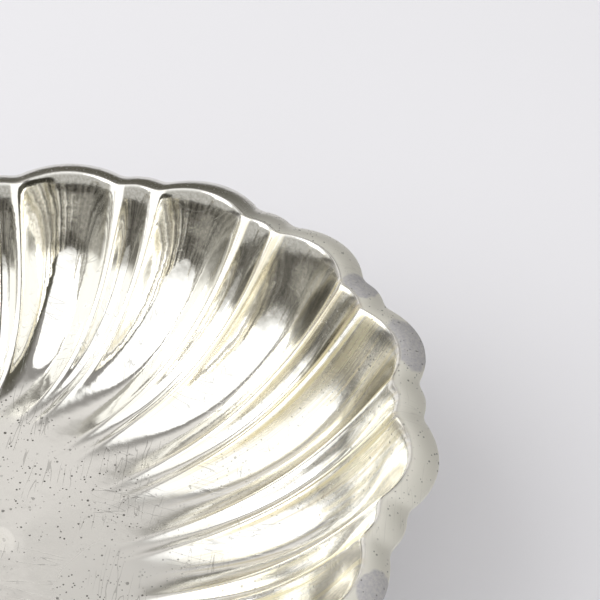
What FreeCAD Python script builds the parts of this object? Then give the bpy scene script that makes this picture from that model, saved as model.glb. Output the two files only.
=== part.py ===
# Silver sauce boat: a fluted oval bowl with a scalloped flange, soldered to a collar and a
# spreading oval foot, with a cast loop handle at the back. Millimetres, +X towards the front
# edge, +Z up, the origin on the table under the middle of the whole length.
import FreeCAD, Part
from FreeCAD import Vector, Placement, Rotation
from math import cos, sin, sqrt, radians
import os

DRIVING = [
    ("semi_width", 46.0, "half width of the bowl across its notches"),
    ("length_ratio", 1.185, "bowl length over bowl width"),
    ("bowl_depth", 21.3, "flange edge down to the floor inside"),
    ("sheet_gauge", 0.9, "thickness of the raised sheet"),
    ("wall_power", 2.79, "how fast the wall flattens towards the floor"),
    ("flange_share", 0.12, "share of the way in that the flange takes"),
    ("flange_rise", 1.6, "how far the flange rises from its edge to its shoulder"),
    ("lobe_pairs", 15, "pairs of one wide and one narrow lobe round the bowl"),
    ("narrow_angle", 6.55, "angle of a narrow lobe, in degrees"),
    ("wide_bulge", 2.1, "how far a wide lobe stands out past its notches at the edge"),
    ("narrow_bulge", 0.4, "the same for a narrow lobe"),
    ("wide_depth", 3.4, "depth of a wide flute in the wall"),
    ("narrow_depth", 1.4, "depth of a narrow flute in the wall"),
    ("ridge_round", 1.1, "half width of the rounded top of a ridge"),
    ("foot_height", 17.0, "table to the top of the foot"),
    ("collar_height", 3.0, "foot to the underside of the bowl"),
    ("collar_length", 17.0, "half length of the collar at the bowl"),
    ("collar_ratio", 0.8, "width over length of the collar and the foot"),
    ("foot_length", 33.0, "half length of the foot at the table, without its wire"),
    ("foot_gauge", 0.8, "thickness of the spun foot"),
    ("wire_width", 1.8, "width of the wire round the foot"),
    ("wire_height", 2.2, "height of the wire round the foot"),
    ("handle_reach", 41.75, "bowl edge back to the outside of the handle"),
    ("handle_width", 7.0, "widest part of the handle, across the boat"),
    ("handle_gauge", 4.4, "thickness of the handle in its own plane"),
    ("leaf_width", 10.5, "width of the thumb leaf"),
    ("leaf_gauge", 2.6, "thickness of the thumb leaf"),
    ("upper_pad_radius", 5.4, "half width of the cast pad on the flange"),
    ("lower_pad_radius", 4.6, "half width of the cast pad on the wall"),
    ("pad_height", 2.6, "height of both pads"),
    ("pad_sink", 0.5, "how far a pad is let into the sheet's curve before it is fitted"),
]

# Shares of the bowl's half width and half length that its contours keep on the way to the floor.
LONG_SHRINK = 0.777
WIDE_SHRINK = 0.679
WIDE_EASE = 0.123
DRIFT_OUT = 0.181
DRIFT_BACK = 0.239

# How softly the flange's shoulder rolls into the wall.
SHOULDER_EASE = 0.02

# Shares of the wall's way in: the flutes are full deep here, start to fade, and have faded.
FLUTE_FULL = 0.22
FADE_START = 0.25
FADE_END = 0.97

# A lobe's arc over its angle times the half width, taken as the same all round the oval.
ARC_FACTOR = 1.15

# The handle is at the back of the bowl, and its two pads are this far in from the edge.
BACK_TURN = 180.0
UPPER_PAD_INWARD = 0.07
LOWER_PAD_INWARD = 0.37

# The foot's outline from its wire up: the share of the height and of the half length.
FOOT_OUTLINE = [(0.0, 1.0), (0.12, 0.93), (0.32, 0.74), (0.6, 0.56), (0.82, 0.49), (1.0, 0.47)]
COLLAR_OUTLINE = [(0.0, 0.86), (0.35, 0.74), (0.65, 0.8), (1.0, 1.0)]
WIRE_OUTLINE = [(0.0, -0.8), (0.5, 0.0), (1.0, -0.8)]

# The handle's middle line: back from the bowl's edge, up from the edge, and the share of the
# full width and gauge there. It rises from the flange, loops back and comes in under the bowl.
HANDLE_LINE = [
    (3.8, 2.3, 0.80, 0.86),
    (2.6, 7.0, 0.72, 0.84),
    (-2.0, 13.5, 0.78, 0.90),
    (-9.5, 20.0, 0.92, 0.98),
    (-19.5, 24.2, 1.00, 1.00),
    (-29.5, 23.4, 1.00, 1.00),
    (-37.0, 16.6, 0.96, 1.00),
    (-39.6, 6.8, 0.90, 0.98),
    (-37.4, -2.4, 0.84, 0.94),
    (-31.2, -9.4, 0.78, 0.90),
    (-21.8, -13.2, 0.74, 0.86),
    (-10.6, -14.6, 0.72, 0.84),
    (1.4, -14.8, 0.74, 0.84),
    (14.2, -14.2, 0.80, 0.86),
]

# The thumb leaf on the loop: the share of the handle's length, and of the leaf's width and gauge.
LEAF_LINE = [
    (0.150, 0.16, 0.4),
    (0.185, 0.55, 0.9),
    (0.225, 0.92, 1.0),
    (0.265, 1.0, 1.0),
    (0.305, 0.82, 1.0),
    (0.345, 0.45, 0.9),
    (0.375, 0.16, 0.4),
]

doc = FreeCAD.newDocument("sauce_boat")


def fill_sheet():
    made = doc.addObject("Spreadsheet::Sheet", "Dimensions")
    for row, (alias, value, words) in enumerate(DRIVING, start=1):
        made.set("A%d" % row, alias)
        made.set("B%d" % row, str(value))
        made.set("C%d" % row, words)
        made.setAlias("B%d" % row, alias)
    row = len(DRIVING) + 1
    derived = [
        ("semi_length", "=semi_width * length_ratio"),
        ("edge_height", "=foot_height + collar_height + sheet_gauge + bowl_depth"),
        ("front_reach", "=wide_bulge - semi_length * (1 - cos(180 deg / lobe_pairs))"),
        ("bowl_shift", "=(handle_reach + wide_bulge - front_reach) / 2"),
    ]
    for alias, formula in derived:
        made.set("A%d" % row, alias)
        made.set("B%d" % row, formula)
        made.setAlias("B%d" % row, alias)
        row += 1
    doc.recompute()
    return made


sheet = fill_sheet()


def dim(alias):
    return float(getattr(sheet, alias))


def smooth(low, high, value):
    share = min(max((value - low) / (high - low), 0.0), 1.0)
    return share * share * (3.0 - 2.0 * share)


# The bowl's surface. "turn" goes round the bowl in degrees, "inward" runs from 0 at the flange's
# edge to 1 at the flat floor.

def lobe_at(turn):
    """Half angle of the lobe at this turn, the place across it from -1 to 1, and if it is wide."""
    pitch = 360.0 / dim("lobe_pairs")
    half_narrow = dim("narrow_angle") / 2.0
    half_wide = pitch / 2.0 - half_narrow
    place = (turn + half_narrow) % pitch - half_narrow
    if place <= half_narrow:
        return half_narrow, place / half_narrow, False
    return half_wide, (place - pitch / 2.0) / half_wide, True


def lobe_height(turn):
    """0 on a ridge and 1 in the middle of a flute, with the ridge's top rounded."""
    half_angle, across, wide = lobe_at(turn)
    half_arc = radians(half_angle) * dim("semi_width") * ARC_FACTOR
    rounded = dim("ridge_round") / half_arc
    bend = 1.0 - rounded
    gap = 1.0 - abs(across)
    if abs(across) < bend:
        height = 1.0 - across * across
    else:
        height = rounded + bend / rounded * gap * gap
    return (height - rounded) / bend, wide


def base_point(turn, inward):
    """The surface that the ridges follow."""
    angle = radians(turn)
    half_width = dim("semi_width")
    half_length = dim("semi_length")
    keep_long = 1.0 - LONG_SHRINK * inward
    keep_wide = 1.0 - WIDE_SHRINK * inward + WIDE_EASE * inward * inward
    drift = half_width * (DRIFT_OUT * inward - DRIFT_BACK * inward * inward)
    flange = dim("flange_share")
    rise = dim("flange_rise")
    if inward < flange:
        height = rise * (1.0 - (1.0 - inward / flange) ** 2)
    else:
        down = (inward - flange) / (1.0 - flange)
        eased = sqrt(down * down + SHOULDER_EASE**2) - SHOULDER_EASE
        eased = min(eased / (sqrt(1.0 + SHOULDER_EASE**2) - SHOULDER_EASE), 1.0)
        height = rise - (dim("bowl_depth") + rise) * (1.0 - (1.0 - eased) ** dim("wall_power"))
    x = half_length * cos(angle) * keep_long + drift
    y = half_width * sin(angle) * keep_wide
    return Vector(x, y, height)


def outward_flat(turn):
    angle = radians(turn)
    across = Vector(cos(angle) / dim("semi_length"), sin(angle) / dim("semi_width"), 0)
    return across.normalize()


def outward_wall(turn, inward):
    step = 0.002
    along = base_point(turn + 0.1, inward) - base_point(turn - 0.1, inward)
    lower = max(inward - step, 0.0)
    upper = min(inward + step, 1.0)
    down = base_point(turn, upper) - base_point(turn, lower)
    return down.cross(along).normalize()


def bowl_point(turn, inward):
    """A point of the bowl's inside: the ridges' surface pushed outwards in the flutes."""
    height, wide = lobe_height(turn)
    bulge = dim("wide_bulge") if wide else dim("narrow_bulge")
    depth = dim("wide_depth") if wide else dim("narrow_depth")
    flange = dim("flange_share")
    if inward <= flange:
        return base_point(turn, inward) + outward_flat(turn) * (bulge * height)
    down = (inward - flange) / (1.0 - flange)
    deepen = smooth(0.0, FLUTE_FULL, down)
    fade = 1.0 - smooth(FADE_START, FADE_END, down)
    push = (bulge + (depth - bulge) * deepen) * fade * height
    sideways = outward_flat(turn) * (1.0 - deepen) + outward_wall(turn, inward) * deepen
    return base_point(turn, inward) + sideways.normalize() * push


def surface_out(turn, inward):
    """The direction from the inside of the sheet to its outside."""
    lower = max(inward - 0.004, 0.0)
    upper = min(inward + 0.004, 1.0)
    along = bowl_point(turn + 0.15, inward) - bowl_point(turn - 0.15, inward)
    down = bowl_point(turn, upper) - bowl_point(turn, lower)
    return down.cross(along).normalize()


def turns():
    """Turns to sample: each flute's middle, flanks and rounded ridges, from the back round."""
    pitch = 360.0 / dim("lobe_pairs")
    half_narrow = dim("narrow_angle") / 2.0
    half_wide = pitch / 2.0 - half_narrow
    wide_steps = (-1.0, -0.93, -0.86, -0.6, -0.3, 0.0, 0.3, 0.6, 0.86, 0.93)
    narrow_steps = (-1.0, -0.81, -0.62, -0.31, 0.0, 0.31, 0.62, 0.81)
    found = []
    for pair in range(int(dim("lobe_pairs"))):
        middle = pair * pitch
        found += [middle + half_narrow * step for step in narrow_steps]
        found += [middle + pitch / 2.0 + half_wide * step for step in wide_steps]
    found = sorted({round((turn - BACK_TURN) % 360.0, 6) for turn in found})
    return [turn + BACK_TURN for turn in found]


def inward_steps():
    flange = dim("flange_share")
    on_flange = [flange * share for share in (0.0, 0.3, 0.6, 0.85, 1.0)]
    down_wall = (0.02, 0.05, 0.09, 0.14, 0.18, 0.22, 0.29, 0.38, 0.5, 0.62, 0.75, 0.88, 1.0)
    return on_flange + [flange + (1.0 - flange) * share for share in down_wall]


def skin(rings):
    """A closed tube face whose smooth surface follows rings of control points."""
    count = len(rings[0])
    spans = len(rings) - 3
    columns = [[ring[place] for ring in rings] for place in range(count)]
    down_repeats = [4] + [1] * (spans - 1) + [4]
    grid = Part.BSplineSurface()
    grid.buildFromPolesMultsKnots(
        columns,
        [1] * (count + 1),
        down_repeats,
        [float(knot) for knot in range(count + 1)],
        [float(knot) for knot in range(spans + 1)],
        True,
        False,
        3,
        3,
    )
    return grid.toShape()


def end_edge(face, height):
    """The closed edge of a tube face that lies at this height."""
    for edge in face.Edges:
        flat = edge.BoundBox.ZLength < 0.001
        if flat and abs(edge.BoundBox.ZMin - height) < 0.001:
            return edge
    raise ValueError("no level edge at %g" % height)


def bowl_shape():
    gauge = dim("sheet_gauge")
    inside = []
    outside = []
    steps = inward_steps()
    for inward in steps:
        ring_in = []
        ring_out = []
        for turn in turns():
            point = bowl_point(turn, inward)
            away = surface_out(turn, inward)
            if inward in (steps[0], steps[-1]):
                away = Vector(0, 0, -1)
            ring_in.append(point)
            ring_out.append(point + away * gauge)
        inside.append(ring_in)
        outside.append(ring_out)
    floor = -dim("bowl_depth")
    inner = skin(inside)
    outer = skin(outside)
    rim = Part.makeRuledSurface(end_edge(inner, 0.0), end_edge(outer, -gauge))
    floor_in = Part.Face(Part.Wire(end_edge(inner, floor)))
    floor_out = Part.Face(Part.Wire(end_edge(outer, floor - gauge)))
    shell = Part.makeShell([inner, outer, rim, floor_in, floor_out])
    shell.sewShape()
    return shell


def add(kind, name):
    made = doc.addObject(kind, name)
    made.Label = name
    return made


def make_bowl():
    made = add("Part::Feature", "bowl")
    made.Shape = Part.makeSolid(bowl_shape())
    made.Placement = Placement(Vector(dim("bowl_shift"), 0, dim("edge_height")), Rotation())
    return made


def oval(name, half_length, height):
    """A level ellipse whose half length and height are formulas on the sheet."""
    made = add("Part::Ellipse", name)
    made.setExpression("MajorRadius", half_length)
    made.setExpression("MinorRadius", "(%s) * Dimensions.collar_ratio" % half_length)
    made.setExpression("Placement.Base.x", "Dimensions.bowl_shift")
    made.setExpression("Placement.Base.z", height)
    return made


def loft(name, sections, ruled=False):
    made = add("Part::Loft", name)
    made.Sections = sections
    made.Solid = True
    made.Ruled = ruled
    return made


def cut(name, base, tool):
    made = add("Part::Cut", name)
    made.Base = base
    made.Tool = tool
    return made


def make_foot_wire():
    outer = []
    for step, (share, inset) in enumerate(WIRE_OUTLINE):
        length = "Dimensions.foot_length + Dimensions.wire_width / 2 + (%g)" % inset
        height = "Dimensions.wire_height * %g" % share
        outer.append(oval("wire_outer_%d" % step, length, height))
    inner = []
    for step, share in enumerate((0.0, 1.0)):
        length = "Dimensions.foot_length - Dimensions.wire_width"
        height = "Dimensions.wire_height * %g" % share
        inner.append(oval("wire_inner_%d" % step, length, height))
    return cut("foot_wire", loft("wire_outside", outer), loft("wire_inside", inner, True))


def make_foot():
    rise = "(Dimensions.foot_height - Dimensions.wire_height)"
    outer = []
    inner = []
    for step, (share, width) in enumerate(FOOT_OUTLINE):
        length = "Dimensions.foot_length * %g" % width
        height = "Dimensions.wire_height + %s * %g" % (rise, share)
        outer.append(oval("foot_outer_%d" % step, length, height))
        if step < len(FOOT_OUTLINE) - 1:
            inside = "%s - Dimensions.foot_gauge" % length
            inner.append(oval("foot_inner_%d" % step, inside, height))
    return cut("foot", loft("foot_outside", outer), loft("foot_inside", inner))


def make_collar():
    sections = []
    for step, (share, width) in enumerate(COLLAR_OUTLINE):
        length = "Dimensions.collar_length * %g" % width
        height = "Dimensions.foot_height + Dimensions.collar_height * %g" % share
        sections.append(oval("collar_%d" % step, length, height))
    return loft("foot_collar", sections)


def handle_line():
    back = dim("bowl_shift") - dim("semi_length") - dim("wide_bulge")
    height = dim("edge_height")
    points = [Vector(back + x, 0, height + z) for x, z, wide, thick in HANDLE_LINE]
    line = Part.BSplineCurve()
    line.interpolate(points)
    return line


def across_line(line, share):
    """The frame of a section across the handle: its middle and its way along."""
    first = line.FirstParameter
    last = line.LastParameter
    place = first + (last - first) * share
    along = line.tangent(place)[0]
    side = Vector(0, 1, 0)
    return line.value(place), Rotation(side, along.cross(side), along, "ZXY")


def oval_across(name, middle, turned, width, gauge):
    made = add("Part::Ellipse", name)
    made.setExpression("MajorRadius", width)
    made.setExpression("MinorRadius", gauge)
    made.Placement = Placement(middle, turned)
    return made


def share_of(line, point):
    first = line.FirstParameter
    last = line.LastParameter
    return (line.parameter(point) - first) / (last - first)


def make_handle():
    line = handle_line()
    back = dim("bowl_shift") - dim("semi_length") - dim("wide_bulge")
    sections = []
    for step, (x, z, wide, thick) in enumerate(HANDLE_LINE):
        point = Vector(back + x, 0, dim("edge_height") + z)
        middle, turned = across_line(line, share_of(line, point))
        width = "Dimensions.handle_width / 2 * %g" % wide
        gauge = "Dimensions.handle_gauge / 2 * %g" % thick
        sections.append(oval_across("handle_%d" % step, middle, turned, width, gauge))
    return loft("handle", sections)


def make_thumb_leaf(handle):
    line = handle_line()
    sections = []
    for step, (share, wide, thick) in enumerate(LEAF_LINE):
        middle, turned = across_line(line, share)
        outwards = turned.multVec(Vector(0, 1, 0))
        lift = dim("handle_gauge") / 2
        width = "Dimensions.leaf_width / 2 * %g" % wide
        gauge = "Dimensions.leaf_gauge / 2 * %g" % thick
        place = middle - outwards * lift
        sections.append(oval_across("leaf_%d" % step, place, turned, width, gauge))
    return cut("thumb_leaf", loft("leaf_whole", sections), handle)


def half_pad(name, radius, middle, outwards):
    """Half an ellipsoid, its flat face let into the sheet and its dome pointing outwards."""
    made = add("Part::Ellipsoid", name)
    made.setExpression("Radius1", "Dimensions.pad_height")
    made.setExpression("Radius2", radius)
    made.setExpression("Radius3", radius)
    made.Angle1 = 0
    made.Angle2 = 90
    made.Placement = Placement(middle, Rotation(Vector(0, 0, 1), outwards))
    return made


def sheet_frame(turn, inward, side):
    """A point of the sheet and the way away from it, side 1 outside or -1 inside."""
    away = surface_out(turn, inward)
    point = bowl_point(turn, inward)
    if side > 0:
        point = point + away * dim("sheet_gauge")
    placed = point + Vector(dim("bowl_shift"), 0, dim("edge_height"))
    return placed - away * (side * dim("pad_sink")), away * side


def make_pads(bowl, handle):
    middle, outwards = sheet_frame(BACK_TURN, UPPER_PAD_INWARD, -1)
    upper = half_pad("upper_pad", "Dimensions.upper_pad_radius", middle, outwards)
    upper_fitted = cut("upper_pad_fitted", upper, bowl)
    middle, outwards = sheet_frame(BACK_TURN, LOWER_PAD_INWARD, 1)
    lower = half_pad("lower_pad", "Dimensions.lower_pad_radius", middle, outwards)
    lower_fitted = cut("lower_pad_fitted", lower, bowl)
    return [
        cut("handle_upper_mount", upper_fitted, handle),
        cut("handle_lower_mount", lower_fitted, handle),
    ]


def check_and_write(parts):
    doc.recompute()
    for thing in doc.Objects:
        if "Invalid" in thing.State or "Error" in thing.State:
            raise RuntimeError("%s failed: %s" % (thing.Name, thing.State))
    for part in parts:
        shape = part.Shape
        if shape.isNull() or not shape.isValid():
            raise RuntimeError("%s has no valid shape" % part.Label)
        print(part.Label, len(shape.Solids), round(shape.Volume, 1), shape.BoundBox)
    os.makedirs("parts", exist_ok=True)
    for part in parts:
        part.Shape.exportStep("parts/%s.step" % part.Label)


bowl = make_bowl()
handle = make_handle()
doc.recompute()
pieces = [bowl, make_collar(), make_foot(), make_foot_wire(), handle, make_thumb_leaf(handle)]
pieces += make_pads(bowl, handle)
check_and_write(pieces)
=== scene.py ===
# A silver sauce boat: fluted oval bowl with a scalloped flange, spreading foot, cast loop handle.
# Metres, +X towards the front edge, +Z up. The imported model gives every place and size.
import math

import bpy
import numpy as np
from mathutils import Matrix, Vector


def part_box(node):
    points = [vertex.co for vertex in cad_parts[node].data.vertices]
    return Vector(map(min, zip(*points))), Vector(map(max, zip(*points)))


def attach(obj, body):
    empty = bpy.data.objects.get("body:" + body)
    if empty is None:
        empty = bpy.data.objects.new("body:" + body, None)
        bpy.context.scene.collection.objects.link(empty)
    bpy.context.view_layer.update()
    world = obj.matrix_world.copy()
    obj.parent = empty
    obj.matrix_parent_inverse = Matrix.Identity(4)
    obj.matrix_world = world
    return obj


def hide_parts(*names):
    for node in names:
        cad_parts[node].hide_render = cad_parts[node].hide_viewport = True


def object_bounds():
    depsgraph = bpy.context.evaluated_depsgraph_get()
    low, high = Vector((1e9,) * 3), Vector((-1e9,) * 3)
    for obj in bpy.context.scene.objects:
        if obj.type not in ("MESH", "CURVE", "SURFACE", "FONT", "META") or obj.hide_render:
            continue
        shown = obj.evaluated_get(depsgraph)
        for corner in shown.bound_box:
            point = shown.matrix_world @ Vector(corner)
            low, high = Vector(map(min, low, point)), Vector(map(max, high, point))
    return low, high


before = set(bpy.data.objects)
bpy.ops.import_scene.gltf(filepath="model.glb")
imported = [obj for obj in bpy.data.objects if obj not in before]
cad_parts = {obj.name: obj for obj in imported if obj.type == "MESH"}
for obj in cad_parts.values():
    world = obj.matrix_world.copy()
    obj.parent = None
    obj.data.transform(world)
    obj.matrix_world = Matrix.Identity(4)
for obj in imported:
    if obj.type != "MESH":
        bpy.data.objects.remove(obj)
cad_low, cad_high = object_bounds()

MM = 0.001

# The bowl's own numbers, the same as in the part's source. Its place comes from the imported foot.
SEMI_WIDTH = 46.0 * MM
SEMI_LENGTH = SEMI_WIDTH * 1.185
BOWL_DEPTH = 21.3 * MM
GAUGE = 0.9 * MM
COLLAR_HEIGHT = 3.0 * MM
WALL_POWER = 2.79
FLANGE_SHARE = 0.12
FLANGE_RISE = 1.6 * MM
LOBE_PAIRS = 15
NARROW_ANGLE = 6.55
WIDE_BULGE = 2.1 * MM
NARROW_BULGE = 0.4 * MM
WIDE_DEPTH = 3.4 * MM
NARROW_DEPTH = 1.4 * MM
RIDGE_ROUND = 1.1 * MM
LONG_SHRINK = 0.777
WIDE_SHRINK = 0.679
WIDE_EASE = 0.123
DRIFT_OUT = 0.181
DRIFT_BACK = 0.239
SHOULDER_EASE = 0.02
FLUTE_FULL = 0.22
FADE_START = 0.25
FADE_END = 0.97
ARC_FACTOR = 1.15

# Share of the way in where the flange's rolled edge starts, so that its round stays in the box.
EDGE_START = 0.015

# Small steps, in degrees of turn and in share of the way in, for finding the surface's direction.
WALL_TURN_STEP = 0.1
WALL_IN_STEP = 0.002
SHEET_TURN_STEP = 0.15
SHEET_IN_STEP = 0.004

# The mesh: points across a narrow and a wide lobe, how evenly they are spread, rows down the
# flange and the wall, how much closer the rows are at the top, and the angles of the round edge.
NARROW_POINTS = 18
WIDE_POINTS = 34
EVEN_SHARE = 0.45
FLANGE_ROWS = 14
WALL_ROWS = 62
ROW_POWER = 1.5
FLOOR_SHARES = (0.25, 0.5, 0.75)
EDGE_ANGLES = (60, 30, 0, -30, -60)

# What the layer "inward" says on the round edge, and what it starts from and ends at underneath.
EDGE_LAYER = -0.01
UNDER_LAYER = -1.0
UNDER_FLOOR_LAYER = -2.5

foot_low, foot_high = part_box("foot")
BOWL_MIDDLE = (foot_low.x + foot_high.x) / 2
EDGE_HEIGHT = foot_high.z + COLLAR_HEIGHT + GAUGE + BOWL_DEPTH


def smooth(low, high, value):
    share = np.clip((value - low) / (high - low), 0.0, 1.0)
    return share * share * (3.0 - 2.0 * share)


# ---------------------------------------------------------------- the bowl's surface

def lobe_height(turn):
    """0 on a ridge, 1 in a flute's middle, and whether the flute is a wide one."""
    pitch = 360.0 / LOBE_PAIRS
    half_narrow = NARROW_ANGLE / 2.0
    half_wide = pitch / 2.0 - half_narrow
    place = (turn + half_narrow) % pitch - half_narrow
    wide = place > half_narrow
    across = np.where(wide, (place - pitch / 2.0) / half_wide, place / half_narrow)
    half_arc = np.radians(np.where(wide, half_wide, half_narrow)) * SEMI_WIDTH * ARC_FACTOR
    rounded = RIDGE_ROUND / half_arc
    bend = 1.0 - rounded
    gap = 1.0 - np.abs(across)
    height = np.where(np.abs(across) < bend, 1.0 - across**2, rounded + bend / rounded * gap**2)
    return (height - rounded) / bend, wide


def base_point(turn, inward):
    """The smooth surface that the ridges follow, from the flange's edge (0) to the floor (1)."""
    angle = np.radians(turn)
    keep_long = 1.0 - LONG_SHRINK * inward
    keep_wide = 1.0 - WIDE_SHRINK * inward + WIDE_EASE * inward**2
    drift = SEMI_WIDTH * (DRIFT_OUT * inward - DRIFT_BACK * inward**2)
    on_flange = FLANGE_RISE * (1.0 - (1.0 - inward / FLANGE_SHARE) ** 2)
    down = np.clip((inward - FLANGE_SHARE) / (1.0 - FLANGE_SHARE), 0.0, 1.0)
    eased = np.sqrt(down**2 + SHOULDER_EASE**2) - SHOULDER_EASE
    eased = np.clip(eased / (math.sqrt(1.0 + SHOULDER_EASE**2) - SHOULDER_EASE), 0.0, 1.0)
    drop = (BOWL_DEPTH + FLANGE_RISE) * (1.0 - (1.0 - eased) ** WALL_POWER)
    height = np.where(inward < FLANGE_SHARE, on_flange, FLANGE_RISE - drop)
    x = SEMI_LENGTH * np.cos(angle) * keep_long + drift
    y = SEMI_WIDTH * np.sin(angle) * keep_wide
    return np.stack([x, y, height], -1)


def unit(vectors):
    return vectors / np.maximum(np.linalg.norm(vectors, axis=-1, keepdims=True), 1e-12)


def outward_flat(turn):
    angle = np.radians(turn)
    across = [np.cos(angle) / SEMI_LENGTH, np.sin(angle) / SEMI_WIDTH, 0 * angle]
    return unit(np.stack(across, -1))


def outward_wall(turn, inward):
    along = base_point(turn + WALL_TURN_STEP, inward) - base_point(turn - WALL_TURN_STEP, inward)
    lower = base_point(turn, np.maximum(inward - WALL_IN_STEP, 0.0))
    upper = base_point(turn, np.minimum(inward + WALL_IN_STEP, 1.0))
    return unit(np.cross(upper - lower, along))


def bowl_point(turn, inward):
    """The inside of the sheet: the ridges' surface pushed outwards in the flutes."""
    height, wide = lobe_height(turn)
    bulge = np.where(wide, WIDE_BULGE, NARROW_BULGE)
    depth = np.where(wide, WIDE_DEPTH, NARROW_DEPTH)
    down = (inward - FLANGE_SHARE) / (1.0 - FLANGE_SHARE)
    deepen = smooth(0.0, FLUTE_FULL, down)
    fade = 1.0 - smooth(FADE_START, FADE_END, down)
    push = (bulge + (depth - bulge) * deepen) * fade * height
    sideways = outward_flat(turn) * (1.0 - deepen)[..., None]
    sideways = sideways + outward_wall(turn, inward) * deepen[..., None]
    return base_point(turn, inward) + unit(sideways) * push[..., None]


def surface_out(turn, inward):
    """The direction from the inside of the sheet to its outside."""
    along = bowl_point(turn + SHEET_TURN_STEP, inward) - bowl_point(turn - SHEET_TURN_STEP, inward)
    lower = bowl_point(turn, np.maximum(inward - SHEET_IN_STEP, 0.0))
    upper = bowl_point(turn, np.minimum(inward + SHEET_IN_STEP, 1.0))
    return unit(np.cross(upper - lower, along))


def bowl_turns():
    """Turns round the bowl, closer together on the ridges."""
    pitch = 360.0 / LOBE_PAIRS
    half_narrow = NARROW_ANGLE / 2.0
    half_wide = pitch / 2.0 - half_narrow
    found = []
    for pair in range(LOBE_PAIRS):
        for middle, half, count in (
            (pair * pitch, half_narrow, NARROW_POINTS),
            ((pair + 0.5) * pitch, half_wide, WIDE_POINTS),
        ):
            share = np.arange(count) / count * 2.0 - 1.0
            eased = EVEN_SHARE * share + (1.0 - EVEN_SHARE) * np.sin(share * np.pi / 2)
            found.append(middle + half * eased)
    return np.concatenate(found)


def mesh_from_grid(name, rows, cap_first=False, cap_last=False):
    """A closed tube of quads from rows of points, with its ends fanned to a middle point."""
    row_count = len(rows)
    across = len(rows[0])
    points = [tuple(point) for row in rows for point in row]
    faces = []
    for row in range(row_count - 1):
        for place in range(across):
            after = (place + 1) % across
            first = row * across
            second = first + across
            faces.append((first + place, second + place, second + after, first + after))
    if cap_first:
        points.append(tuple(np.mean(rows[0], axis=0)))
        faces += [(place, (place + 1) % across, len(points) - 1) for place in range(across)]
    if cap_last:
        points.append(tuple(np.mean(rows[-1], axis=0)))
        last = (row_count - 1) * across
        faces += [
            (last + (place + 1) % across, last + place, len(points) - 1)
            for place in range(across)
        ]
    mesh = bpy.data.meshes.new(name)
    mesh.from_pydata(points, [], faces)
    mesh.validate()
    mesh.update()
    for polygon in mesh.polygons:
        polygon.use_smooth = True
    thing = bpy.data.objects.new(name, mesh)
    bpy.context.scene.collection.objects.link(thing)
    return thing


def point_layer(thing, name, values):
    layer = thing.data.attributes.new(name, "FLOAT", "POINT")
    padded = np.zeros(len(thing.data.vertices), np.float32)
    padded[: len(values)] = values
    layer.data.foreach_set("value", padded)


def vector_layer(thing, name, values):
    layer = thing.data.attributes.new(name, "FLOAT_VECTOR", "POINT")
    padded = np.zeros((len(thing.data.vertices), 3), np.float32)
    padded[: len(values)] = values
    layer.data.foreach_set("vector", padded.ravel())


def make_bowl():
    """The raised sheet: floor and wall inside, round edge, then the wall and floor underneath."""
    turn = bowl_turns()
    flange_steps = np.linspace(EDGE_START, FLANGE_SHARE, FLANGE_ROWS, endpoint=False)
    wall_share = np.linspace(0.0, 1.0, WALL_ROWS)
    wall_steps = FLANGE_SHARE + (1.0 - FLANGE_SHARE) * wall_share**ROW_POWER
    steps = np.concatenate([flange_steps, wall_steps])
    grid_turn, grid_in = np.meshgrid(turn, steps)
    inside = bowl_point(grid_turn, grid_in)
    away = surface_out(grid_turn, grid_in)
    away[-1] = (0, 0, -1)
    outside = inside + away * GAUGE
    rows = []
    ins = []
    for share in FLOOR_SHARES:
        rows.append(inside[-1] * [share, share, 1])
        ins.append(np.full(len(turn), 1.0 + (1 - share)))
    for row in range(len(steps) - 1, -1, -1):
        rows.append(inside[row])
        ins.append(np.full(len(turn), steps[row]))
    edge_middle = (inside[0] + outside[0]) / 2
    edge_out = unit(np.cross(inside[0] - outside[0], np.roll(inside[0], -1, 0) - inside[0]))
    flat = outward_flat(turn)
    edge_out = edge_out * np.sign((edge_out * flat).sum(-1, keepdims=True))
    half = (inside[0] - outside[0]) / 2
    for angle in EDGE_ANGLES:
        lean = math.radians(angle)
        rows.append(edge_middle + half * math.sin(lean) + edge_out * (GAUGE / 2 * math.cos(lean)))
        ins.append(np.full(len(turn), EDGE_LAYER))
    for row in range(len(steps)):
        rows.append(outside[row])
        ins.append(np.full(len(turn), UNDER_LAYER - steps[row]))
    for share in reversed(FLOOR_SHARES):
        rows.append(outside[-1] * [share, share, 1])
        ins.append(np.full(len(turn), UNDER_FLOOR_LAYER))
    place = np.array([BOWL_MIDDLE, 0.0, EDGE_HEIGHT])
    bowl = mesh_from_grid("bowl_silver", [row + place for row in rows], True, True)
    height, _ = lobe_height(turn)
    point_layer(bowl, "flute", np.tile(height, len(rows)))
    point_layer(bowl, "inward", np.concatenate(ins))
    angle = np.radians(turn)
    across = np.tile(np.stack([np.cos(angle), np.sin(angle)], -1), (len(rows), 1))
    along = np.column_stack([across, np.concatenate(ins)])
    vector_layer(bowl, "along", along)
    return bowl


# ---------------------------------------------------------------- materials

# The side that was rubbed dull, as a direction from the bowl's middle, and the patches on the
# flange where the plate is gone: turn round the bowl, how far in, and radius.
RUBBED_SIDE = (math.cos(math.radians(-34)), math.sin(math.radians(-34)))
BARE_PATCHES = ((2, 0.06, 3.2 * MM), (-13, 0.05, 4.2 * MM), (-58, 0.05, 2.5 * MM))


def patch_place(turn, inwards):
    point = bowl_point(np.array([float(turn)]), np.array([inwards]))[0]
    return (point[0] + BOWL_MIDDLE, point[1], point[2] + EDGE_HEIGHT)


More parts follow.
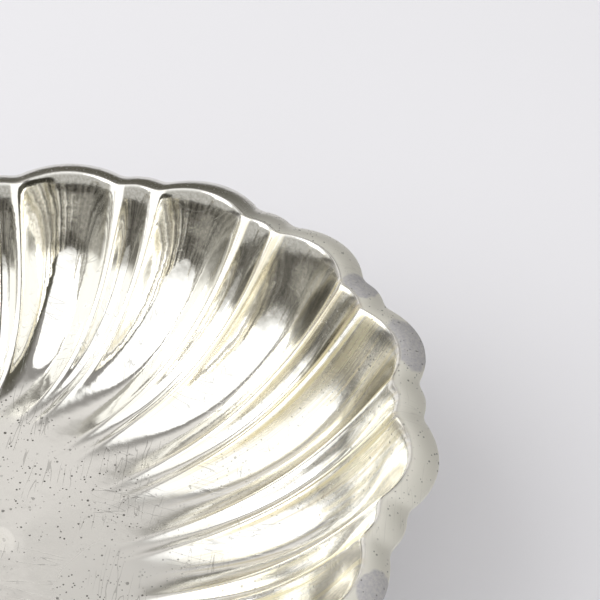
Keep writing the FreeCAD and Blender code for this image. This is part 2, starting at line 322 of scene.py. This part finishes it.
class Nodes:
    """A short way to write a node tree."""

    def __init__(self, name="", tree=None):
        kind = "World"
        if tree is None:
            self.material = bpy.data.materials.new(name)
            self.material.use_nodes = True
            tree = self.material.node_tree
            kind = "Material"
        self.tree = tree
        self.tree.nodes.clear()
        self.output = self.tree.nodes.new("ShaderNodeOutput" + kind)

    def add(self, kind, **settings):
        node = self.tree.nodes.new("ShaderNode" + kind)
        for key, value in settings.items():
            setattr(node, key, value)
        return node

    def link(self, source, target):
        self.tree.links.new(source, target)

    def feed(self, socket, value):
        """A socket is fed by another node's output or set to a plain value."""
        if isinstance(value, bpy.types.NodeSocket):
            self.link(value, socket)
        elif isinstance(value, tuple) and len(value) == 3 and socket.type == "RGBA":
            socket.default_value = (*value, 1)
        else:
            socket.default_value = value

    def sum(self, operation, first, second=0.5):
        node = self.add("Math", operation=operation)
        self.feed(node.inputs[0], first)
        self.feed(node.inputs[1], second)
        return node.outputs[0]

    def layer(self, name, output="Fac"):
        return self.add("Attribute", attribute_name=name).outputs[output]

    def rise(self, value, low, high, to_low=0.0, to_high=1.0):
        """to_low up to the value low, to_high from the value high, and smooth between them."""
        node = self.add("MapRange", interpolation_type="SMOOTHSTEP")
        self.feed(node.inputs["Value"], value)
        for name, number in (("From Min", low), ("From Max", high),
                             ("To Min", to_low), ("To Max", to_high)):
            self.feed(node.inputs[name], number)
        return node.outputs[0]

    def noise(self, place, scale, detail=3.0, rough=0.55, stretch=None):
        if stretch:
            scaled = self.add("VectorMath", operation="MULTIPLY")
            self.link(place, scaled.inputs[0])
            scaled.inputs[1].default_value = stretch
            place = scaled.outputs[0]
        node = self.add("TexNoise")
        self.link(place, node.inputs["Vector"])
        node.inputs["Scale"].default_value = scale
        node.inputs["Detail"].default_value = detail
        node.inputs["Roughness"].default_value = rough
        return node.outputs["Fac"]

    def colours(self, share, first, second):
        node = self.add("Mix", data_type="RGBA")
        self.feed(node.inputs["Factor"], share)
        self.feed(node.inputs["A"], first)
        self.feed(node.inputs["B"], second)
        return node.outputs["Result"]

    def bump(self, height, strength, distance, normal=None):
        node = self.add("Bump")
        node.inputs["Strength"].default_value = strength
        node.inputs["Distance"].default_value = distance
        self.link(height, node.inputs["Height"])
        if normal:
            self.link(normal, node.inputs["Normal"])
        return node.outputs[0]


SILVER = (0.91, 0.90, 0.86)
WORN_SILVER = (0.80, 0.785, 0.745)
MATT_SILVER = (0.80, 0.78, 0.71)
YELLOW_TARNISH = (0.74, 0.66, 0.42)
BROWN_TARNISH = (0.50, 0.42, 0.33)
# Dark grey: partly tarnish, partly painted shade under the fittings and a painted dark reflection at
# the bowl's flute tops.
PAINTED_DARK_AND_TARNISH = (0.26, 0.25, 0.22)
BARE_METAL = (0.47, 0.46, 0.49)
PIT = (0.10, 0.095, 0.09)


def specks(n, place, spacing, size, share):
    """Scattered round dots: about one per spacing, up to size across, on a share of the cells."""
    cells = n.add("TexVoronoi")
    n.link(place, cells.inputs["Vector"])
    cells.inputs["Scale"].default_value = 1.0 / spacing
    chance = n.add("SeparateColor")
    n.link(cells.outputs["Color"], chance.inputs[0])
    chosen = n.sum("LESS_THAN", chance.outputs[0], share)
    across = n.sum("MULTIPLY", chance.outputs[1], 0.5 * size / spacing)
    dot = n.sum("LESS_THAN", cells.outputs["Distance"], across)
    return n.sum("MULTIPLY", chosen, dot)


def scratches(n, place, turn, length, width, spacing):
    """Long thin lines in one direction, broken up here and there."""
    turned = n.add("VectorRotate", rotation_type="Z_AXIS")
    n.link(place, turned.inputs["Vector"])
    turned.inputs["Angle"].default_value = math.radians(turn)
    field = n.noise(turned.outputs[0], 1.0, 1.0, 0.4, (1.0 / spacing, 1.0 / length, 1.0 / length))
    off = n.sum("ABSOLUTE", n.sum("SUBTRACT", field, 0.5))
    line = n.sum("LESS_THAN", off, width / spacing)
    here = n.noise(place, 1.0 / length, 2.0, 0.6, (1.0, 1.0, 1.0))
    return n.sum("MULTIPLY", line, n.rise(here, 0.52, 0.6))


def bowl_silver():
    """Worn silver plate: bright in the flutes with a painted dark reflection at their tops, dull on
    the flange, yellow down the ridges.
    """
    n = Nodes("bowl_silver")
    place = n.add("TexCoord").outputs["Object"]
    flute = n.layer("flute")
    inward = n.layer("inward")
    along = n.layer("along", "Vector")
    streaks = n.noise(along, 1.0, 5.0, 0.65, (48.0, 48.0, 1.6))
    fine_streaks = n.noise(along, 1.0, 3.0, 0.6, (150.0, 150.0, 3.0))
    cloud = n.noise(place, 90.0, 4.0, 0.6)
    grit = n.noise(place, 2600.0, 2.0, 0.7)
    wide_cloud = n.noise(place, 28.0, 2.0, 0.5)

    rubbed = n.add("VectorMath", operation="DOT_PRODUCT")
    n.link(along, rubbed.inputs[0])
    rubbed.inputs[1].default_value = (*RUBBED_SIDE, 0.0)
    rubbed = rubbed.outputs["Value"]
    flange = n.sum("MULTIPLY", n.rise(inward, FLANGE_SHARE + 0.004, FLANGE_SHARE - 0.012),
                   n.sum("GREATER_THAN", inward, -0.5))
    matt = n.sum("MULTIPLY", flange, n.rise(rubbed, 0.3, 0.75, 0.1, 1.0))
    down = n.sum("ADD", inward, n.rise(cloud, 0.3, 0.7, -0.04, 0.04))
    # Painted dark reflection: the upper part of each flute, below the flange and away from the
    # rubbed side, is coloured dark grey.
    flute_top_painted_dark = n.sum("MULTIPLY", n.rise(down, 0.34, 0.27),
                      n.rise(inward, FLANGE_SHARE - 0.002, FLANGE_SHARE + 0.014))
    flute_top_painted_dark = n.sum("MULTIPLY", flute_top_painted_dark, n.rise(flute, 0.12, 0.3))
    ridge = n.rise(flute, 0.5, 0.12)
    wall = n.sum("MULTIPLY", n.rise(inward, FLANGE_SHARE - 0.02, FLANGE_SHARE + 0.03),
                 n.rise(inward, 0.86, 0.6))
    side = n.rise(rubbed, 0.62, 0.93)
    flute_top_painted_dark = n.sum("MULTIPLY", flute_top_painted_dark, n.rise(rubbed, 0.96, 0.92))
    floor = n.rise(inward, 0.62, 0.86)

    yellow = n.sum("MULTIPLY", n.rise(streaks, 0.42, 0.62), wall)
    yellow_share = n.sum("MULTIPLY", n.sum("MAXIMUM", ridge, n.sum("MULTIPLY", side, 0.55)),
                         n.rise(rubbed, 0.2, 0.9, 0.12, 0.9))
    yellow = n.sum("MULTIPLY", yellow, yellow_share)
    brown = n.sum("MULTIPLY", n.rise(fine_streaks, 0.56, 0.7), yellow)
    smudge = n.rise(wide_cloud, 0.45, 0.7)

    colour = n.colours(n.sum("MULTIPLY", flange, 0.9), SILVER, WORN_SILVER)
    colour = n.colours(matt, colour, MATT_SILVER)
    colour = n.colours(n.sum("MULTIPLY", floor, 0.55), colour, WORN_SILVER)
    # The flute tops are mixed towards dark grey here, a painted dark reflection.
    colour = n.colours(n.sum("MULTIPLY", flute_top_painted_dark, n.rise(grit, 0.3, 0.7, 0.8, 0.92)), colour,
                       PAINTED_DARK_AND_TARNISH)
    colour = n.colours(yellow, colour, YELLOW_TARNISH)
    colour = n.colours(brown, colour, BROWN_TARNISH)

    patches = None
    for turn, inwards, size in BARE_PATCHES:
        away = n.add("VectorMath", operation="DISTANCE")
        n.link(place, away.inputs[0])
        away.inputs[1].default_value = patch_place(turn, inwards)
        reach = n.sum("ADD", away.outputs["Value"], n.rise(cloud, 0.3, 0.7, -0.3 * size, 0.3 * size))
        patch = n.rise(reach, size, size * 0.82)
        patches = patch if patches is None else n.sum("MAXIMUM", patches, patch)
    patches = n.sum("MULTIPLY", patches, flange)
    colour = n.colours(n.sum("MULTIPLY", patches, n.rise(grit, 0.25, 0.75, 0.55, 0.95)), colour,
                       BARE_METAL)

    clusters = n.rise(n.noise(place, 120.0, 3.0, 0.65), 0.38, 0.56)
    dots = specks(n, place, 0.42 * MM, 0.30 * MM, 0.45)
    dots = n.sum("MAXIMUM", dots, specks(n, place, 1.1 * MM, 0.5 * MM, 0.4))
    dots = n.sum("MULTIPLY", dots, clusters)
    low = n.sum("MAXIMUM", floor, n.sum("MULTIPLY", flange, 0.8))
    low = n.sum("MAXIMUM", low, n.sum("MULTIPLY", side, 0.6))
    dots = n.sum("MULTIPLY", dots, low)
    lines = scratches(n, place, 35, 9 * MM, 0.010 * MM, 0.9 * MM)
    lines = n.sum("MAXIMUM", lines, scratches(n, place, -50, 12 * MM, 0.010 * MM, 1.1 * MM))
    lines = n.sum("MULTIPLY", lines, n.rise(inward, 0.2, 0.6, 0.2, 0.6))
    colour = n.colours(n.sum("MULTIPLY", dots, 0.85), colour, PIT)
    colour = n.colours(n.sum("MULTIPLY", lines, 0.55), colour, PIT)

    rough = n.rise(smudge, 0.0, 1.0, 0.05, 0.10)
    for share, to_add in ((flange, 0.14), (matt, 0.22), (flute_top_painted_dark, 0.06), (yellow, 0.20),
                          (side, 0.09), (floor, 0.13), (patches, 0.12), (dots, 0.3)):
        rough = n.sum("ADD", rough, n.sum("MULTIPLY", share, to_add))

    dents = n.noise(place, 260.0, 2.0, 0.5)
    normal = n.bump(dents, 0.12, 0.6 * MM)
    normal = n.bump(grit, 0.05, 0.1 * MM, normal)
    pits = n.sum("SUBTRACT", 1.0, n.sum("MAXIMUM", dots, lines))
    normal = n.bump(pits, 0.35, 0.05 * MM, normal)

    shader = n.add("BsdfPrincipled")
    n.link(n.rise(matt, 0.0, 1.0, 1.0, 0.45), shader.inputs["Metallic"])
    n.link(colour, shader.inputs["Base Color"])
    n.link(rough, shader.inputs["Roughness"])
    n.link(normal, shader.inputs["Normal"])
    n.link(shader.outputs[0], n.output.inputs[0])
    return n.material


# How each soldered fitting was made: the strength of its turning marks,
# the strength of its casting grain, the share of tarnish and painted shade underneath, and its
# roughness on top.
FITTINGS = {
    "foot_collar": (0.30, 0.05, 0.70, 0.11),
    "foot": (0.22, 0.05, 0.50, 0.08),
    "foot_wire": (0.06, 0.10, 0.40, 0.13),
    "handle": (0.0, 0.35, 0.60, 0.10),
    "thumb_leaf": (0.0, 0.45, 0.70, 0.12),
    "handle_upper_mount": (0.0, 0.45, 0.75, 0.14),
    "handle_lower_mount": (0.0, 0.45, 0.80, 0.14),
}


def fitting_silver(name, turning, casting, tarnish_and_shade, rough_top):
    """Silver plate on a soldered fitting: plain on top, tarnish and painted shade (yellow, then dark
    grey) on the sides that face down, pitted.
    """
    n = Nodes(name)
    place = n.add("TexCoord").outputs["Object"]
    cloud = n.noise(place, 110.0, 4.0, 0.6)
    grain = n.noise(place, 1500.0, 2.0, 0.65)
    facing = n.add("SeparateXYZ")
    n.link(n.add("NewGeometry").outputs["Normal"], facing.inputs[0])
    # Painted shade with some tarnish: the more a surface faces down, the more it is coloured yellow
    # and then dark grey.
    under = n.sum("ADD", n.rise(facing.outputs["Z"], 0.5, -0.7), n.rise(cloud, 0.3, 0.7, -0.3, 0.3))
    pits = specks(n, place, 0.9 * MM, 0.35 * MM, 0.3)
    lines = scratches(n, place, 25, 10 * MM, 0.010 * MM, 1.0 * MM)

    colour = n.colours(n.rise(cloud, 0.35, 0.75, 0.0, 0.6), SILVER, WORN_SILVER)
    # Yellow and then dark grey, mixed in by how far the surface faces down: tarnish and painted
    # shade.
    colour = n.colours(n.rise(under, 0.2, 0.8, 0.0, tarnish_and_shade), colour, YELLOW_TARNISH)
    colour = n.colours(n.rise(under, 0.6, 1.2, 0.0, tarnish_and_shade), colour, PAINTED_DARK_AND_TARNISH)
    colour = n.colours(n.sum("MULTIPLY", pits, 0.8), colour, PIT)
    colour = n.colours(n.sum("MULTIPLY", lines, 0.4), colour, WORN_SILVER)
    rough = n.rise(under, 0.0, 1.0, rough_top, rough_top + 0.18)

    normal = n.bump(grain, casting, 0.08 * MM)
    normal = n.bump(n.sum("SUBTRACT", 1.0, n.sum("MAXIMUM", pits, lines)), 0.3, 0.05 * MM, normal)
    if turning:
        rings = n.add("TexWave", wave_type="RINGS", rings_direction="Z")
        middle = n.add("VectorMath", operation="SUBTRACT")
        n.link(place, middle.inputs[0])
        middle.inputs[1].default_value = (BOWL_MIDDLE, 0.0, 0.0)
        n.link(middle.outputs[0], rings.inputs["Vector"])
        rings.inputs["Scale"].default_value = 600.0
        rings.inputs["Distortion"].default_value = 1.5
        normal = n.bump(rings.outputs["Fac"], turning, 0.03 * MM, normal)

    shader = n.add("BsdfPrincipled")
    shader.inputs["Metallic"].default_value = 1.0
    n.link(colour, shader.inputs["Base Color"])
    n.link(rough, shader.inputs["Roughness"])
    n.link(normal, shader.inputs["Normal"])
    n.link(shader.outputs[0], n.output.inputs[0])
    return n.material


# ---------------------------------------------------------------- stage, light and camera

PAPER = (0.81, 0.805, 0.84)
PAPER_HALF = 1.5
PAPER_GAP = 0.2 * MM

LAMP_PLACE = (-0.55, 0.10, 0.62)
LAMP_AIM = (0.03, 0, 0)
LAMP_SIZE = (0.5, 0.7)
LAMP_POWER = 3

# The camera from the middle of the bowl's edge, where it looks, and its roll in degrees.
CAMERA_PLACE = (-28.6, -102.9, 135.5)
CAMERA_AIM = (44.4, 3.6, 0.0)
CAMERA_TILT = 6.11
CAMERA_LENS = 84.0
CAMERA_SENSOR = 36.0


def make_floor():
    """The white paper that the boat stands on."""
    mesh = bpy.data.meshes.new("floor")
    half = PAPER_HALF
    mesh.from_pydata(
        [(-half, -half, 0), (half, -half, 0), (half, half, 0), (-half, half, 0)],
        [],
        [(0, 1, 2, 3)],
    )
    floor = bpy.data.objects.new("floor", mesh)
    bpy.context.scene.collection.objects.link(floor)
    floor.location.z = cad_low[2] - PAPER_GAP
    n = Nodes("floor_paper")
    shader = n.add("BsdfPrincipled")
    shader.inputs["Base Color"].default_value = (*PAPER, 1)
    shader.inputs["Roughness"].default_value = 0.9
    n.link(shader.outputs[0], n.output.inputs[0])
    mesh.materials.append(n.material)


def area_light(name, place, aim, size, power):
    """A white rectangle that lights the boat from the left."""
    lamp = bpy.data.lights.new(name, "AREA")
    lamp.shape = "RECTANGLE"
    lamp.size, lamp.size_y = size
    lamp.energy = power
    thing = bpy.data.objects.new(name, lamp)
    thing.location = place
    thing.rotation_euler = (Vector(aim) - Vector(place)).to_track_quat("-Z", "Y").to_euler()
    bpy.context.scene.collection.objects.link(thing)


CEILING = (0.86, 0.84, 0.825)
WINDOW = (1.3, 1.3, 1.29)
ROOM = (0.105, 0.10, 0.08)
DIM = (0.30, 0.29, 0.28)

# What surrounds the boat, one patch over another: the turn and height of its middle, the angle
# that it fills, the angle where it ends, and its colour.
SKY = [
    ((350, 5), 56, 66, ROOM),
    ((45, 8), 36, 45, ROOM),
    ((215, 40), 66, 80, DIM),
    ((215, 40), 60, 63, WINDOW),
    ((292, -12), 34, 40, ROOM),
]


def sky_direction(turn, height):
    """The unit vector at a turn about +Z and a height above the horizon, both in degrees."""
    turn, height = math.radians(turn), math.radians(height)
    level = math.cos(height)
    return (math.cos(turn) * level, math.sin(turn) * level, math.sin(height))


def sky_cap(n, view, colour, middle, inner, outer, cap_colour):
    """Lay a round patch over the sky: all cap_colour inside inner degrees, none outside outer."""
    nearness = n.add("VectorMath", operation="DOT_PRODUCT")
    n.link(view, nearness.inputs[0])
    nearness.inputs[1].default_value = sky_direction(*middle)
    share = n.add("MapRange", interpolation_type="SMOOTHSTEP")
    n.link(nearness.outputs["Value"], share.inputs["Value"])
    share.inputs["From Min"].default_value = math.cos(math.radians(outer))
    share.inputs["From Max"].default_value = math.cos(math.radians(inner))
    return n.colours(share.outputs[0], colour, cap_colour)


def make_world():
    """A pale ceiling, a big white window behind the viewer's left, and a dim room on the right."""
    world = bpy.data.worlds.new("studio")
    bpy.context.scene.world = world
    world.use_nodes = True
    n = Nodes(tree=world.node_tree)
    view = n.add("TexCoord").outputs["Generated"]
    colour = CEILING
    for middle, inner, outer, patch in SKY:
        colour = sky_cap(n, view, colour, middle, inner, outer, patch)
    back = n.add("Background")
    n.link(colour, back.inputs["Color"])
    n.link(back.outputs[0], n.output.inputs["Surface"])


def make_camera():
    """Close over the back right of the boat, looking forwards and down at the front flutes."""
    middle = Vector((BOWL_MIDDLE, 0, EDGE_HEIGHT))
    place = middle + Vector(CAMERA_PLACE) * MM
    aim = middle + Vector(CAMERA_AIM) * MM
    lens = bpy.data.cameras.new("camera")
    lens.sensor_width = CAMERA_SENSOR
    lens.lens = CAMERA_LENS
    lens.clip_start = 0.01
    camera = bpy.data.objects.new("camera", lens)
    look = (aim - place).to_track_quat("-Z", "Y").to_matrix().to_4x4()
    tilt = Matrix.Rotation(math.radians(CAMERA_TILT), 4, "Z")
    camera.matrix_world = Matrix.Translation(place) @ look @ tilt
    bpy.context.scene.collection.objects.link(camera)
    bpy.context.scene.camera = camera


bowl = make_bowl()
bowl.data.materials.append(bowl_silver())
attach(bowl, "root")
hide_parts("bowl")

for node, finish in FITTINGS.items():
    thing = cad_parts[node]
    thing.data.materials.clear()
    thing.data.materials.append(fitting_silver(node + "_silver", *finish))

make_floor()
make_world()
area_light("daylight", LAMP_PLACE, LAMP_AIM, LAMP_SIZE, LAMP_POWER)
make_camera()
bpy.context.scene.view_settings.view_transform = "Standard"
